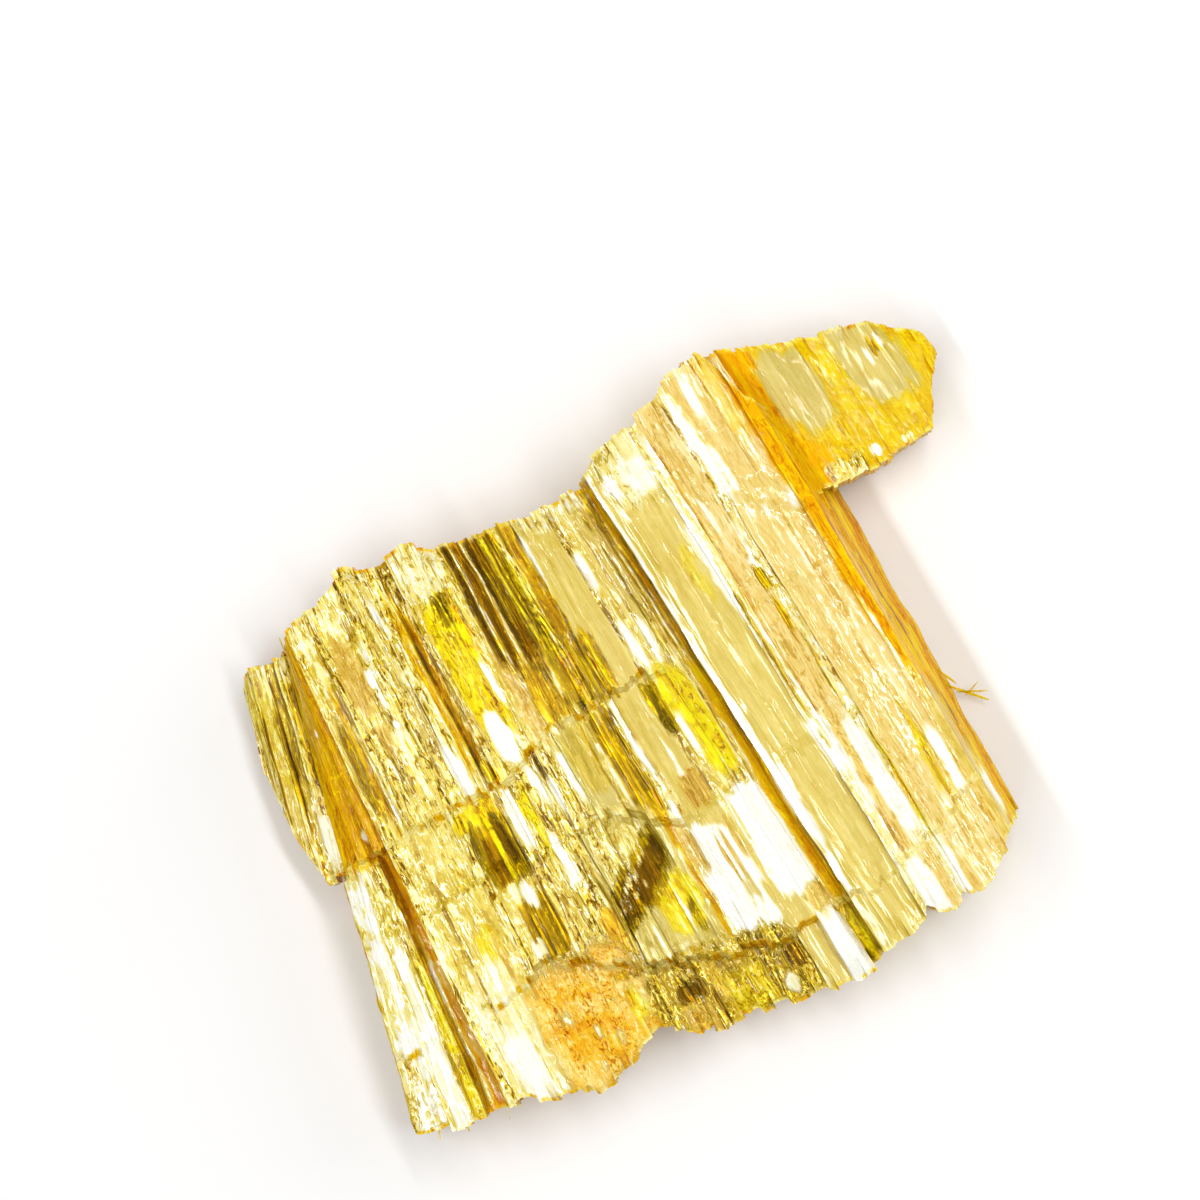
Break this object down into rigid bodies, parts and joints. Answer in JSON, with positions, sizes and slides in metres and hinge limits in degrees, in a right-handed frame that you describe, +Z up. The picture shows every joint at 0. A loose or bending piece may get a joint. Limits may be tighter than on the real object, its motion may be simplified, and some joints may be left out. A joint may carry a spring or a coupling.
{
  "type": "orpiment specimen",
  "caption": "Loose cleavage slab of orpiment: parallel golden laths on thin lower sheets, with ragged broken ends, cross fractures and a stepped side. Lies flat on its cleavage face.",
  "frame": {"origin": "middle of the bounding box on the flat cleavage face that the slab rests on", "axes": "+Z up, away from the resting face; +Y towards the broken far end with the lower rear sheet; +X towards the stepped right wall"},
  "size_m": [0.0476, 0.0498, 0.0091],
  "materials": {
    "orpiment": "golden yellow orpiment, translucent, resinous to pearly on the cleavage, finely striated, orange in the side walls and grooves"
  },
  "bodies": {
    "root": {"orpiment_slab": "orpiment"}
  },
  "joints": []
}
